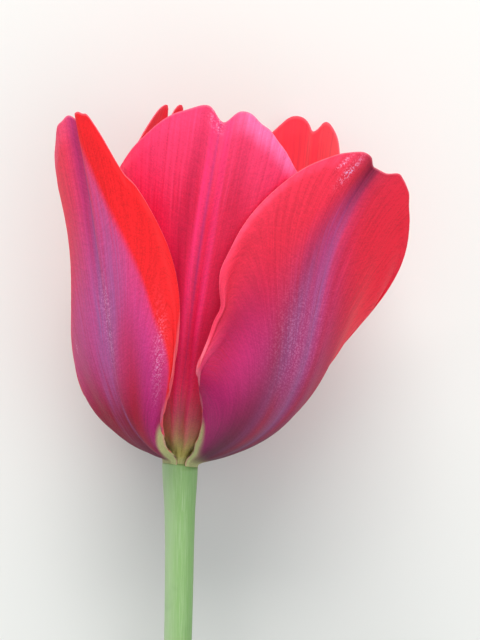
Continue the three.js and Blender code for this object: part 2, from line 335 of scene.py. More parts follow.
# %% The form of each petal
EVEN = dict(swing=0, roll=0, bias=0, skew=0, flare=0, dips=[], lobes=[])
PETALS = {}
PETALS["outer_petal_left"] = dict(
    EVEN, azimuth=-35.3, swing=-20.5, profile=[[3.7, 0.7], [32.5, 3.1], [25.9, 30.2], [39.8, 73]],
    half_width=[3, 10.4, 20.7, 24.7, 15.5], cup=[4.6, 20.8, 23.6, 19.4, 26.1], roll=[0, 0.6, 0, 2.2, 9],
    shoulders=[0.47, 0.52], squares=[1.8, 4.5], bias=-0.22, notch=[0.014, 0.12],
    crease=[0.6, 3], flare=1.4, ripple=[0.7, 3, 0.2], fold=[2.0, 3.4, 1.0, 4], ridges=0.06, seed=1,
    dips=[(0.69, 0.14, -0.055)],
)
PETALS["outer_petal_right"] = dict(
    EVEN, azimuth=53.5, swing=3.1, profile=[[3.7, 0.6], [47.4, 11.7], [19.4, 43.5], [44, 70.3]],
    half_width=[3, 23.3, 25.2, 26.3, 18.8], cup=[4.6, 20.6, 24.3, 38.4, 27.6],
    roll=[0, 5.4, -5.5, -19, -37.6],
    shoulders=[0.37, 0.57], squares=[2.66, 2.66], bias=-0.05, notch=[0.03, 0.16],
    crease=[0.6, 3], flare=5.4, ripple=[0.8, 4, 0.6], fold=[2.6, 3.6, 1.4, 6], ridges=0.06, seed=2,
    lobes=[(-1, 0.655, 0.035, 1.2), (-1, 0.56, 0.035, -1.4)],
)
PETALS["outer_petal_back"] = dict(
    EVEN, azimuth=180, profile=[[3.7, 0.5], [33, 2], [33.2, 37], [28.6, 74]],
    half_width=[3, 14, 21, 22.5, 19.5], cup=[4.5, 21, 29, 31, 29],
    shoulders=[0.5, 0.5], squares=[2.1, 2.1], notch=[0.01, 0.12],
    crease=[0.5, 3], ripple=[0.6, 3, 0.4], fold=[0.8, 2.0, 2.0, 4], ridges=0.1, seed=3,
)
PETALS["inner_petal_front"] = dict(
    EVEN, azimuth=-4.7, swing=6.1, profile=[[2.3, 2.1], [18, 6.4], [26, 35], [29.3, 77.7]],
    half_width=[1.9, 11.6, 17.6, 28.3, 25.6], cup=[3.4, 13, 18.2, 25.7, 28.4],
    roll=[0, -3.1, -9.6, -4.1, -3.1],
    shoulders=[0.67, 0.7], squares=[1.89, 1.89], bias=-0.06, skew=-0.01, notch=[0.03, 0.1],
    crease=[0.8, 2.4], flare=-1, ripple=[0.4, 3, 0], fold=[0.5, 1.4, 1.4, 6], ridges=0.35, seed=4,
    dips=[(0, 1.5, 0.006)],
)
PETALS["inner_petal_left"] = dict(
    EVEN, azimuth=-128.4, swing=1.5, profile=[[2.3, 2.1], [17, 5.2], [29.6, 35.2], [14.3, 78.6]],
    half_width=[1.8, 11.4, 17.3, 20.4, 22.4], cup=[3.4, 17.6, 22.9, 24.7, 21.4], roll=[0, 0, 0, 0, 2],
    shoulders=[0.42, 0.68], squares=[1.5, 1.8], bias=-0.02, skew=0.03, notch=[0.03, 0.05],
    crease=[0.6, 2.4], ripple=[0.4, 3, 0.3], fold=[0.6, 1.4, 1.4, 5], ridges=0.3, seed=5,
    dips=[(-0.16, 0.08, 0.022), (0.5, 0.25, -0.03)],
)
PETALS["inner_petal_right"] = dict(
    EVEN, azimuth=126.1, swing=7.3, profile=[[2.3, 2.1], [14.9, 9.4], [30, 42.2], [28.4, 80.2]],
    half_width=[1.8, 11.7, 17.6, 21.1, 21.2], cup=[3.4, 17, 23, 24, 22.8], roll=[0, 0, 0, 0.7, 3],
    shoulders=[0.52, 0.53], squares=[2.38, 2.38], bias=0.05, skew=0.02, notch=[0.033, 0.11],
    crease=[0.6, 2.4], ripple=[0.4, 3, 0.7], fold=[0.8, 1.4, 1.4, 5], ridges=0.3, seed=6,
)
print("petals:", len(PETALS))


# %% [markdown]
# The surface of a petal is a formula of two shares: how far up it is, and how far across,
# from -1 at the left margin to 1 at the right. Lines of one `across` run up from the base
# and fan out to the rim. The veins fan out more than they do, so the outer ones run out at
# the margins. The rest of the fine form is a few slow waves, so that no petal is quite
# regular, and a foot that turns down and wraps the top of the stem.

# %% The surface of a petal
VEIN_COUNT = 26  # raised lines from margin to margin at the tip
VEIN_HEIGHT = 0.03
VEIN_UNEVENNESS = 0.6
VEIN_WANDER = 0.05
RIDGE_PLACE = 1.5  # of the two raised lines, from the rib
RIDGE_HALF_WIDTH = 0.55
UNEVENNESS = 0.22
RIM_UNEVENNESS = 0.0017  # in shares of the petal's length
MARGIN_WOBBLE = 0.22
# The foot: how far down it turns, over which share of the petal's length, at which distance
# from the axis it ends, and how much narrower it is there, over another share.
OUTER_FOOT = dict(drop=1.0, share=0.03, distance=3.85, narrow=0.28)
INNER_FOOT = dict(drop=2.4, share=0.06, distance=3.15, narrow=0.0)
NARROW_SHARE = 0.05
FOOT_THINNING = 1.2  # the foot's end is as thick as if it were this far from a rim
SMALL_STEP = 1e-4


def slow_waves(first, second, seed, count=6, reach=3.0):
    """A smooth uneven field between about -1 and 1."""
    draw = np.random.RandomState(seed)
    field = np.zeros_like(first)
    for _ in range(count):
        turns_first, turns_second, start = draw.uniform(-reach, reach, 3)
        field += np.sin(2 * np.pi * (turns_first * first + turns_second * second + start))
    return field / math.sqrt(count)


def crown(petal, across):
    """Share of the rib's length at which a petal ends, at a place across it."""
    shoulder = np.where(across < 0, *petal["shoulders"])
    square = np.where(across < 0, *petal["squares"])
    arch = np.sqrt(np.maximum(0, 1 - np.abs(across) ** square))
    depth, width = petal["notch"]
    waves = slow_waves(across, 0 * across, petal["seed"] + 20, reach=6.0)
    rim = 1 + RIM_UNEVENNESS * waves * (1 - across**8)
    for middle, half_width, amount in petal["dips"]:
        rim += amount * hill(across, middle, half_width)
    rim *= (1 - depth * hill(across, 0, width)) * (1 + petal["skew"] * across)
    return (shoulder + (1 - shoulder) * arch) * rim


def rib_line(petal, share, base):
    """The rib as distance and height, and how near the foot is, from 0 to 1."""
    line = bezier(petal["profile"], share)
    low = np.clip(1 - share / base["share"], 0, 1) ** 2
    line[:, 0] = line[:, 0] * (1 - low) + base["distance"] * low
    line[:, 1] -= base["drop"] * low
    return line, low


def petal_places(petal, up, across):
    """Points of the middle of the petal, with the share of its length."""
    seed = petal["seed"]
    share = up * crown(petal, across)
    base = OUTER_FOOT if petal["profile"][0][0] > INNER_FOOT["distance"] else INNER_FOOT
    foot, low = rib_line(petal, share, base)
    slope = rib_line(petal, share + SMALL_STEP, base)[0] - foot
    slope /= np.linalg.norm(slope, axis=1, keepdims=True)

    # the distance from the rib, measured along the skin
    half = np.sign(across)
    reach = along(petal["half_width"], share) * (1 + petal["bias"] * half) * across
    reach *= 1 - base["narrow"] * (1 - step(0, NARROW_SHARE, share))
    wobble = slow_waves(up, half, seed + 40, count=12, reach=14.0)
    reach += MARGIN_WOBBLE * half * across**8 * np.sin(np.pi * up) * wobble
    for side, middle, half_width, amount in petal["lobes"]:
        reach += side * amount * hill(share, middle, half_width) * np.clip(side * across, 0, 1) ** 8

    # the way inwards: cup, crease, waved margins, folded tip
    cup = along(petal["cup"], share) * (1 - low) + base["distance"] * low
    depth, width = petal["crease"]
    crease = depth * np.sin(np.pi * np.minimum(share * 1.1, 1))
    inwards = cup * (1 - np.cos(reach / cup)) + crease * hill(reach, 0, width)
    height, count, start = petal["ripple"]
    wave = height * np.sin(2 * np.pi * (count * up + start + np.where(across < 0, 0.5, 0)))
    inwards += np.abs(across) ** 4 * share * (wave - petal["flare"])
    depth, left, right, power = petal["fold"]
    inwards += depth * share**power * hill(reach, 0, np.where(reach < 0, left, right))

    # ridges, veins and unevenness, which fade at the base and the tip
    fade = np.sin(np.pi * np.clip(share, 0, 1)) ** 0.5
    for place in (-RIDGE_PLACE, RIDGE_PLACE):
        inwards -= petal["ridges"] * fade * hill(reach, place, RIDGE_HALF_WIDTH)
    lane = across + VEIN_WANDER * slow_waves(share, across, seed + 60, reach=2.0)
    lane /= 0.5 + 0.5 * share**2
    height = VEIN_HEIGHT * (1 + VEIN_UNEVENNESS * slow_waves(share, across, seed + 80, reach=4.0))
    inwards -= height * fade * np.cos(np.pi * VEIN_COUNT * lane) * (1 - across**6)
    inwards += UNEVENNESS * fade * slow_waves(share, across, seed)

    # rolled about the rib, then set on it
    roll = np.radians(along(petal["roll"], share))
    sideways = cup * np.sin(reach / cup)
    rolled_sideways = sideways * np.cos(roll) - inwards * np.sin(roll)
    rolled_inwards = sideways * np.sin(roll) + inwards * np.cos(roll)
    azimuth = np.radians(petal["azimuth"] + petal["swing"] * share**2)
    out = around_axis(np.ones_like(share), azimuth, 0)
    aside = around_axis(np.ones_like(share), azimuth + math.pi / 2, 0)
    outwards = out * slope[:, 1:] - np.array([0, 1, 0]) * slope[:, :1]
    rib = around_axis(foot[:, 0], azimuth, foot[:, 1])
    points = rib + aside * rolled_sideways[:, None] - outwards * rolled_inwards[:, None]
    return in_bloom(points), share


# %% [markdown]
# ## Making a blade
# Petals and leaf start as a flat grid from bmesh, whose rows and columns become the shares
# up and across. The columns crowd towards the margins, where the shape turns fastest. The
# Solidify modifier gives the blade two faces and thins it towards the rim, and Bevel rounds
# the rim off. Each face has its own material: Solidify adds 1 for the inner face and 2 for
# the rim. Numbers that the materials read are kept on the points.

# %% Helpers for a blade
def link(name, mesh, node_names):
    """Makes the object, hides the plain parts it stands for, and lets it ride with the flower."""
    piece = add(name, mesh)
    for polygon in mesh.polygons:
        polygon.use_smooth = True
    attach(piece, "root")
    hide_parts(*node_names)
    return piece


def keep(mesh, readings):
    """Stores numbers on the points of a mesh, for its material to read."""
    for name, values in readings.items():
        layer = mesh.attributes.new(name, "FLOAT", "POINT")
        layer.data.foreach_set("value", np.ascontiguousarray(values, dtype=np.float32))


def blade_grid(name, rows, columns):
    """A flat grid, with the shares up and across of each of its points."""
    bm = bmesh.new()
    bmesh.ops.create_grid(bm, x_segments=columns, y_segments=rows, size=1)
    mesh = to_mesh(bm, name)
    flat = np.empty(len(mesh.vertices) * 3, np.float32)
    mesh.vertices.foreach_get("co", flat)
    flat = flat.reshape(-1, 3).astype(float)
    return mesh, (flat[:, 1] + 1) / 2, np.sin(flat[:, 0] * math.pi / 2)


def settle(mesh, points):
    mesh.vertices.foreach_set("co", (points * MM).astype(np.float32).ravel())
    mesh.update()


def give_thickness(piece, thickness, thin_share, rim_distance, thin_from):
    """Two faces and a rounded rim, thinned within some distance of the rim."""
    group = piece.vertex_groups.new(name="thickness")
    weight = step(0, thin_from, rim_distance)
    for level in np.unique(np.round(weight, 2)):
        group.add(np.nonzero(np.round(weight, 2) == level)[0].tolist(), float(level), "REPLACE")
    solidify = piece.modifiers.new("two faces", "SOLIDIFY")
    solidify.thickness, solidify.offset = thickness * MM, 0
    solidify.vertex_group, solidify.thickness_vertex_group = "thickness", thin_share
    solidify.material_offset, solidify.material_offset_rim = 1, 2
    bevel = piece.modifiers.new("round rim", "BEVEL")
    bevel.width, bevel.segments = thickness * thin_share * 0.3 * MM, 2
    bevel.limit_method, bevel.angle_limit = "ANGLE", math.radians(60)
    bevel.profile = 0.5


# %% [markdown]
# ## Where the colours lie on a petal
# On the outside a tulip petal has a mauve flame along its rib, streaked with lilac wax, red
# towards the rim, magenta low down, and a foot darkened by painted shade, with a pale green
# margin. `ground` is the colour under them from base to tip. Each colour over it is a soft
# band along the petal: its middle across, its half width and its strength are five values
# from base to tip. Before its bands stands how far noise breaks the colour into streaks.
# `glints` are spots where the wax catches light: place and half width across, place and
# half width up, strength. `scarlet` is a margin: its side, and where it begins across.
# `pale` is the green of the foot, which climbs one margin: side, where across it begins to
# climb, how high it comes, and how late it rises. `upper_highlight` is a painted highlight,
# pink, along the upper rim: side and strength.

# %% The colours' places
COLOURS = {
    "mauve": (206, 94, 168), "plum": (198, 70, 140), "lilac": (168, 104, 168),
    # foot_shade is painted shade at the foot of the petal
    "magenta": (212, 46, 144), "foot_shade": (92, 46, 68), "dark_shade": (128, 28, 54),
    "cherry": (198, 34, 62), "red": (250, 42, 72), "pink": (252, 58, 128),
    "violet_and_crease_shade": (172, 46, 122), "crimson": (182, 18, 62),
}
PAINTS = {}
PAINTS["outer_petal_left"] = dict(
    ground=[
        (0, (122, 54, 76)), (0.16, (134, 44, 74)), (0.3, (168, 32, 68)), (0.45, (206, 44, 90)),
        (0.62, (228, 56, 112)), (0.85, (246, 58, 100)), (1, (250, 80, 112)),
    ],
    bands={
        "magenta": (0.3, [([0.6, 0.7, 0.65, 0.5, 0.5], 0.3, [0.2, 0.8, 0.8, 0.1, 0])]),
        "mauve": (0.4, [
            ([-0.2, -0.2, -0.25, 0.1, 0.1], [0.5, 0.5, 0.8, 0.42, 0.22], [0, -0.15, 0.88, 0.85, 0.1]),
        ]),
        "red": (0.2, [
            ([-1, -1, -0.9, -0.65, -0.5], [0.2, 0.2, 0.25, 0.3, 0.32], [0, 0, 0.1, 0.5, 0.75]),
        ]),
        # painted shade at the foot
        "foot_shade": (0.2, [([-0.7, -0.55, -0.3, 0, 0], [0.45, 0.35, 0.2, 0.1, 0.1], [0.8, 0.2, 0, 0, 0])]),
        "crimson": (0.6, [
            ([-0.45, -0.45, -0.45, -0.4, -0.4], [0.3, 0.32, 0.28, 0.1, 0.1], [0, 0.6, 0.25, 0, 0]),
        ]),
        "cherry": (0.4, [
            ([0.33, 0.33, 0.33, 0.3, 0.3], [0.16, 0.18, 0.18, 0.1, 0.1], [0, 0.8, 0.6, 0, 0]),
        ]),
        "lilac": (0.7, [
            ([-0.25, -0.2, -0.1, 0, 0.02], [0.03, 0.04, 0.05, 0.05, 0.03], [0, 0.3, 0.8, 0.8, 0.3]),
            ([-0.1, -0.1, 0, 0.24, 0.15], [0.04, 0.05, 0.1, 0.15, 0.05], [0, 0.15, 0.8, 0.5, 0]),
            ([0.3, 0.08, -0.05, 0, 0], [0.03, 0.035, 0.03, 0.02, 0.02], [0.3, 0.7, 0.3, 0, 0]),
        ]),
        # painted shade: dark violet in the crease by the notch
        "violet_and_crease_shade": (0.2, [
            ([0, 0, 0, -0.04, -0.07], [0.02, 0.02, 0.02, 0.05, 0.09], [0, 0, 0, 0.4, 0.9]),
        ]),
    },
    glints=[(0.77, 0.07, 0.55, 0.12, 0.75), (0.05, 0.07, 0.6, 0.1, 0.8), (-0.53, 0.03, 0.55, 0.02, 0.6)],
    scarlet=(1, [1.6, 1.45, 1.12, 0.5, 0.0]), pale=(1, 0.1, 0.37, 2.0), upper_highlight=(-1, 0.3),
)
PAINTS["outer_petal_right"] = dict(
    ground=[
        (0, (108, 52, 66)), (0.14, (114, 46, 70)), (0.28, (166, 42, 82)), (0.45, (184, 40, 86)),
        (0.62, (214, 38, 76)), (0.8, (240, 46, 76)), (1, (252, 60, 92)),
    ],
    bands={
        "magenta": (0.2, [
            ([-0.95, -0.85, -0.76, -0.8, -0.8], [0.4, 0.36, 0.34, 0.2, 0.2], [1, 1, 0.95, 0.1, 0]),
        ]),
        "crimson": (0.3, [
            ([-0.8, -0.8, -0.85, -0.8, -0.8], [0.3, 0.3, 0.32, 0.25, 0.2], [0, 0.3, 0.9, 0.4, 0]),
        ]),
        "mauve": (0.5, [
            ([-0.1, -0.15, -0.15, -0.06, 0], [0.1, 0.2, 0.17, 0.09, 0.05], [0, 0.5, 0.7, 0.7, 0.2]),
        ]),
        "red": (0.15, [
            ([0.9, 0.8, 0.8, 0.7, 0.7], [0.3, 0.3, 0.35, 0.42, 0.45], [0, 0.3, 0.8, 1, 0.9]),
        ]),
        "plum": (0.45, [
            ([-0.1, -0.12, -0.1, -0.07, -0.02], [0.2, 0.34, 0.32, 0.2, 0.05], [0.1, 0.8, 1, 0.95, 0.9]),
        ]),
        # painted shade at the foot
        "foot_shade": (0.2, [([-0.3, -0.1, 0.1, 0.3, 0.3], [0.42, 0.4, 0.15, 0.1, 0.1], [1, 0.4, 0, 0, 0])]),
        "cherry": (0.6, [
            ([-0.2, -0.22, -0.35, -0.4, -0.4], [0.1, 0.06, 0.05, 0.05, 0.05], [0, 0.8, 0.4, 0, 0]),
            ([0.1, 0.1, 0.12, 0.1, 0.1], [0.03, 0.04, 0.04, 0.03, 0.03], [0, 0.6, 0.5, 0.4, 0]),
        ]),
        "lilac": (0.5, [
            ([0, -0.02, -0.03, -0.02, 0], [0.03, 0.05, 0.06, 0.05, 0.03], [0, 0.6, 0.7, 0.6, 0.1]),
            ([-0.3, -0.3, -0.25, -0.15, -0.05], [0.04, 0.06, 0.07, 0.04, 0.03], [0, 0.5, 0.8, 0.3, 0]),
        ]),
        # painted shade: dark red in the fold at the tip, and down the left of the middle
        "dark_shade": (0.35, [
            ([0, 0, 0, 0, -0.04], [0.1, 0.1, 0.1, 0.03, 0.17], [0, 0, 0, -0.3, 1]),
            ([-0.35, -0.35, -0.3, -0.2, -0.2], [0.12, 0.13, 0.14, 0.08, 0.05], [0, 0.5, 0.5, 0.3, 0]),
        ]),
    },
    glints=[
        (-0.26, 0.03, 0.955, 0.03, 2.2), (-0.36, 0.015, 0.975, 0.02, 2.0),
        (-0.15, 0.22, 0.5, 0.15, 0.3),
    ],
    scarlet=(-1, 2), pale=(-1, 0.1, 0.24, 5), upper_highlight=(-1, 0.12),
)
PAINTS["outer_petal_back"] = dict(
    ground=[
        (0, (108, 50, 66)), (0.16, (116, 44, 70)), (0.3, (170, 44, 84)), (0.5, (204, 46, 92)),
        (0.8, (240, 54, 86)), (1, (250, 70, 100)),
    ],
    bands={
        "magenta": (0.2, [
            ([-0.8, -0.8, -0.7, -0.7, -0.7], [0.3, 0.3, 0.3, 0.2, 0.2], [0.6, 0.9, 0.6, 0, 0]),
            ([0.8, 0.8, 0.7, 0.7, 0.7], [0.3, 0.3, 0.3, 0.2, 0.2], [0.4, 0.8, 0.5, 0, 0]),
        ]),
        "plum": (0.45, [(0, [0.25, 0.35, 0.4, 0.22, 0.05], [0, 0.6, 0.95, 0.9, 0.8])]),
        # painted shade at the foot
        "foot_shade": (0.2, [(0, [0.5, 0.3, 0.15, 0.1, 0.1], [1, 0.3, 0, 0, 0])]),
        "lilac": (0.6, [
            ([-0.1, -0.12, -0.15, -0.08, 0], [0.04, 0.06, 0.08, 0.05, 0.02], [0, 0.5, 0.9, 0.5, 0]),
            ([0.1, 0.12, 0.16, 0.08, 0], [0.04, 0.06, 0.08, 0.05, 0.02], [0, 0.5, 0.9, 0.5, 0]),
        ]),
    },
    glints=[(0.4, 0.2, 0.5, 0.15, 0.5)],
    scarlet=(1, [2, 1.2, 0.85, 0.5, 0.2]), pale=(1, 0.2, 0.3, 3), upper_highlight=(1, 0.2),
)
INNER_PAINT = dict(
    ground=[
        (0, (240, 226, 120)), (0.07, (222, 204, 120)), (0.17, (208, 148, 116)), (0.28, (206, 96, 112)),
        (0.4, (250, 54, 112)), (0.58, (230, 32, 88)), (0.82, (232, 38, 84)), (1, (252, 74, 128)),
    ],
    bands={
        "crimson": (0.5, [
            ([-0.3, -0.3, -0.17, -0.16, -0.14], [0.05, 0.06, 0.07, 0.07, 0.05], [0, 0.2, 0.6, 0.7, 0.3]),
            ([0.3, 0.3, 0.2, 0.2, 0.2], [0.05, 0.1, 0.1, 0.1, 0.1], [0, 0.2, 0.5, 0.5, 0.2]),
        ]),
        "pink": (0.15, [
            ([-0.3, -0.13, -0.085, -0.06, -0.06], [0.05, 0.03, 0.035, 0.022, 0.02], [0, 0.4, 0.9, 0.9, 0.8]),
            ([0.3, 0.13, 0.085, 0.06, 0.06], [0.05, 0.03, 0.03, 0.02, 0.018], [0, 0.4, 0.8, 0.8, 0.6]),
        ]),
        # a thin violet line beside the rib
        "violet_and_crease_shade": (0.3, [
            ([0, -0.01, -0.015, -0.02, -0.02], [0.03, 0.014, 0.011, 0.008, 0.008], [0, 0.3, 0.7, 0.7, 0.5]),
        ]),
    },
    glints=[(-0.05, 0.05, 0.99, 0.012, 1.0)],
    scarlet=(1, 2), pale=(1, 2, 0, 1), upper_highlight=(1, 1),
)


# where scarlet, pale and the painted upper highlight go from none to full
SCARLET_EDGE = (-0.07, 0.07)
PALE_EDGE = (-0.04, 0.05)
FOOT_PALENESS = 0.8
FOOT_EDGE = (0.004, 0.035)
UPPER_HIGHLIGHT_ACROSS = (0, 0.3)
UPPER_HIGHLIGHT_UP = (0.5, 0.75)
UPPER_HIGHLIGHT_DEPTH = (0.6, 4.5)  # from the rim


def band(bands, up, across):
    """Where a colour lies: the strongest of its bands."""
    strongest = np.zeros_like(up)
    for middle, half_width, strength in bands:
        spread = hill(across, along(middle, up), along(half_width, up))
        strongest = np.maximum(strongest, np.clip(along(strength, up), 0, 1) * spread)
    return strongest


def petal_readings(petal, places, up, across, share):
    """Where each colour lies, how near the rim is, and the frame that the streaks follow."""
    rib = bezier(petal["profile"], np.linspace(0, 1, 60))
    length = np.linalg.norm(np.diff(rib, axis=0), axis=1).sum()
    to_margin = (1 - np.abs(across)) * along(petal["half_width"], share)
    to_tip = (1 - up) * crown(petal, across) * length
    rim = np.minimum(np.minimum(to_margin, to_tip), share * length + FOOT_THINNING)

    side, edge = places["scarlet"]
    scarlet = step(*SCARLET_EDGE, side * across - along(edge, up))
    side, start, height, power = places["pale"]
    climb = np.clip((side * across - start) / (1 - start), 0, 1) ** power
    foot = FOOT_PALENESS * (1 - step(*FOOT_EDGE, share))
    pale = np.maximum(1 - step(*PALE_EDGE, up - height * climb), foot)
    # a painted highlight, pink, near the upper rim
    side, strength = places["upper_highlight"]
    upper = step(*UPPER_HIGHLIGHT_ACROSS, side * across) * step(*UPPER_HIGHLIGHT_UP, up)
    upper_highlight = strength * upper * (1 - step(*UPPER_HIGHLIGHT_DEPTH, rim))
    glint = np.zeros_like(up)
    for middle, half_width, height, half_height, strength in places["glints"]:
        spot = strength * hill(across, middle, half_width) * hill(up, height, half_height)
        glint = np.maximum(glint, spot)
    readings = {colour: band(bands, up, across) for colour, (_, bands) in places["bands"].items()}
    return readings | dict(
        glint=glint, scarlet=scarlet, pale=pale, upper_highlight=upper_highlight, across=across, up=up, rim=rim,
    )


# %% [markdown]
# ## The skin of a petal
# The skin is built up like a glaze: the ground, then each colour over it where its band
# lies, broken into streaks by noise that is stretched along the veins. Fine wrinkles cross
# the streaks in arcs, and the skin's cells are a grain of under half a millimetre. The same
# patterns raise fine relief. Because a petal is thin, part of the light that falls on it
# comes out on the other side: a Translucent shader is mixed in.

# %% Paint a petal's outside
CRIMSON = paint(214, 36, 74)
SCARLET = paint(246, 38, 46)
# painted highlight: the whitish colour of the glints
GLINT_WHITE = paint(240, 190, 236)
PALE_GREEN = paint(212, 216, 150)
# painted highlight: a pale pink line along the rim
RIM_HIGHLIGHT = paint(255, 150, 170)
UPPER_HIGHLIGHT = paint(255, 136, 200)
# painted highlight: pink light along the upper rim
SHEEN_TINT = paint(255, 120, 160)
THROUGH = 0.3  # share of the light that passes through a petal
STREAKS = 26.0  # blobs of noise from the rib to a margin, at the tip
FINE_STREAKS = 52.0
WRINKLES = 150.0  # from base to tip
SKIN_CELLS = 2600.0  # per metre
STREAK_DRIFT = 0.09
# how much each pattern shades the skin, raises it and breaks up its glints
SHADES = {"streaks": 0.36, "fine": 0.5, "wrinkles": 0.34, "cells": 0.44}
DARKEST = 0.22
RELIEF = {"fine": 0.4, "wrinkles": 0.3, "cells": 0.3}
GRAINS = {"cells": 0.6, "wrinkles": 0.2, "fine": 0.2}
WAX = {"Sheen Weight": 0.06, "Sheen Roughness": 0.4, "Sheen Tint": SHEEN_TINT, "IOR": 1.35}


def weigh(patterns, weights):
    """The sum of the patterns, each times its weight."""
    return sum(patterns[name] * weight for name, weight in weights.items())


def petal_skin(name, places, seed):
    net = Finish(name)
    across, up = net.reading("across"), net.reading("up")
    drift = net.streaks(across * 2.5, up * 3.0, seed + 2.0, detail=2.0, roughness=0.5) - 0.5
    lane = (across + drift * STREAK_DRIFT) / (up * up * 0.7 + 0.3)
    arc = up - across * across * 0.3
    streaks = net.streaks(lane * STREAKS, up * 2.0, seed, detail=5.0, roughness=0.7)
    patterns = {
        "streaks": streaks,
        "fine": net.streaks(lane * FINE_STREAKS, up * 5.0, seed + 7.0, detail=3.0, roughness=0.65),
        "wrinkles": net.streaks(across * 10.0, arc * WRINKLES, seed + 3.0, detail=3.0),
        "cells": net.grain(SKIN_CELLS, detail=2.0),
    }
    glint = net.reading("glint") * weigh(patterns, GRAINS).within(0.46, 0.64)

    stops = [(place, paint(*colour)) for place, colour in places["ground"]]
    colour = net.ramp(up + (streaks - 0.5) * 0.2, stops)
    # some of these bands are painted shade: at the foot, and in the folds and creases near the tips
    for colour_name, (streaked, _) in places["bands"].items():
        broken = streaks.within(0.36, 0.6) * streaked + (1 - streaked)
        amount = net.reading(colour_name) * broken
        colour = net.mix(colour, paint(*COLOURS[colour_name]), amount)
    colour = net.mix(colour, SCARLET, net.reading("scarlet"))
    broken = streaks.within(0.3, 0.7) * 0.5 + 0.5
    # a painted highlight along the upper rim, broken by the streaks
    colour = net.mix(colour, UPPER_HIGHLIGHT, net.reading("upper_highlight") * broken)
    # painted highlight: glints where the wax catches light
    colour = net.mix(colour, GLINT_WHITE, glint * 0.8)
    colour = net.mix(colour, PALE_GREEN, net.reading("pale"))
    # a painted highlight along the rim
    colour = net.mix(colour, RIM_HIGHLIGHT, (1 - net.reading("rim").within(0.05, 0.4)) * 0.4)
    colour = net.shade(colour, weigh(patterns, SHADES) + DARKEST)
    bump = net.bump(weigh(patterns, RELIEF), strength=0.7, distance=0.00016)
    return net.close(colour, 0.5 - glint * 0.15, bump, THROUGH, WAX)


# %% [markdown]
# The inside of a petal is a clear scarlet with a satin gloss, and ends in a dark blotch
# with a yellow edge at the foot. The rim is the cut edge of the skin, with a painted highlight
# that makes it paler than both.

# %% Paint a petal's inside and rim
INSIDE_RED = paint(255, 60, 80)
INSIDE_BLOTCH = paint(38, 20, 40)
INSIDE_YELLOW = paint(224, 186, 60)
# painted highlight: the rim faces paler than the skin
RIM_HIGHLIGHT_RED = paint(250, 96, 118)


def petal_lining(name, seed):
    net = Finish(name)
    across, up = net.reading("across"), net.reading("up")
    streaks = net.streaks(across * STREAKS, up * 2.2, seed + 3.0, detail=3.0)
    fine = net.streaks(across * FINE_STREAKS, up * 9.0, seed + 9.0, detail=2.0)
    cells = net.grain(SKIN_CELLS, detail=2.0)
    place = up + streaks * 0.08 + abs(across) * 0.08

    colour = net.mix(INSIDE_RED, CRIMSON, streaks.within(0.4, 0.8) * 0.6)
    colour = net.mix(INSIDE_YELLOW, colour, place.within(0.22, 0.29))
    colour = net.mix(INSIDE_BLOTCH, colour, place.within(0.17, 0.22))
    # a painted highlight along the rim
    colour = net.mix(colour, RIM_HIGHLIGHT, (1 - net.reading("rim").within(0.1, 0.7)) * 0.25)
    colour = net.shade(colour, fine * 0.3 + 0.85)
    bump = net.bump(fine * 0.6 + cells * 0.4, strength=0.3, distance=0.00012)
    return net.close(colour, 0.38, bump, THROUGH, {"Sheen Weight": 0.2, "IOR": 1.4})


def petal_rim(name):
    net = Finish(name)
    # the rim faces carry a painted highlight
    colour = net.mix(RIM_HIGHLIGHT_RED, PALE_GREEN, net.reading("pale"))
    return net.close(colour, roughness=0.5, through=0.35)


# %% [markdown]
# Now the six petals are grown. The lowest one carries the bloom, so where its belly would
# sink into the surface it is pressed flat.

# %% Grow the petals
PETAL_THICK = 0.8
RIM_THICK_SHARE = 0.28
THIN_FROM = 3.5  # distance from the rim at which a petal begins to thin
FINE_GRID = (190, 140)  # rows and columns
PLAIN_GRID = (150, 110)
SEEN = ("outer_petal_left", "outer_petal_right", "inner_petal_front")

rim_material = petal_rim("petal_rim")
for petal_name, petal in PETALS.items():
    places = PAINTS.get(petal_name, INNER_PAINT)
    grid = FINE_GRID if petal_name in SEEN else PLAIN_GRID
    mesh, up, across = blade_grid(petal_name, *grid)
    points, share = petal_places(petal, up, across)
    points[:, 2] = np.maximum(points[:, 2], PETAL_THICK / 2)
    settle(mesh, points)
    readings = petal_readings(petal, places, up, across, share)
    keep(mesh, readings)
    mesh.materials.append(petal_skin(petal_name + "_skin", places, float(petal["seed"])))
    mesh.materials.append(petal_lining(petal_name + "_lining", float(petal["seed"])))
    mesh.materials.append(rim_material)
    piece = link(petal_name + "_skin", mesh, [petal_name])
    give_thickness(piece, PETAL_THICK, RIM_THICK_SHARE, readings["rim"], THIN_FROM)
    print(petal_name, "length along the flower, mm:", round(float(np.ptp(points[:, 1])), 1))


# %% [markdown]
# ## Round stalks
# Stem, pistil, filaments and anthers are all round stalks. Each starts as a closed cylinder
# from bmesh, whose long edges are cut into rings. A formula then gives the place of each
# point from the number of its ring and its turn round it.

# %% A stalk from a cylinder
def stalk(name, sides, ring_count, place):
    """A closed stalk whose points are place(rings, turns), with those two for each point."""
    bm = bmesh.new()
    bmesh.ops.create_cone(
        bm, cap_ends=True, cap_tris=False, segments=sides, radius1=1, radius2=1, depth=1,
    )
    long_edges = [e for e in bm.edges if abs(e.verts[0].co.z - e.verts[1].co.z) > 0.5]
    bmesh.ops.subdivide_edges(bm, edges=long_edges, cuts=ring_count - 2, use_grid_fill=True)
    rings = np.array([round((v.co.z + 0.5) * (ring_count - 1)) for v in bm.verts])
    turns = np.array([math.atan2(v.co.y, v.co.x) for v in bm.verts])
    for vert, point in zip(bm.verts, place(rings, turns)):
        vert.co = point * MM
    bmesh.ops.recalc_face_normals(bm, faces=bm.faces)
    return to_mesh(bm, name), rings, turns


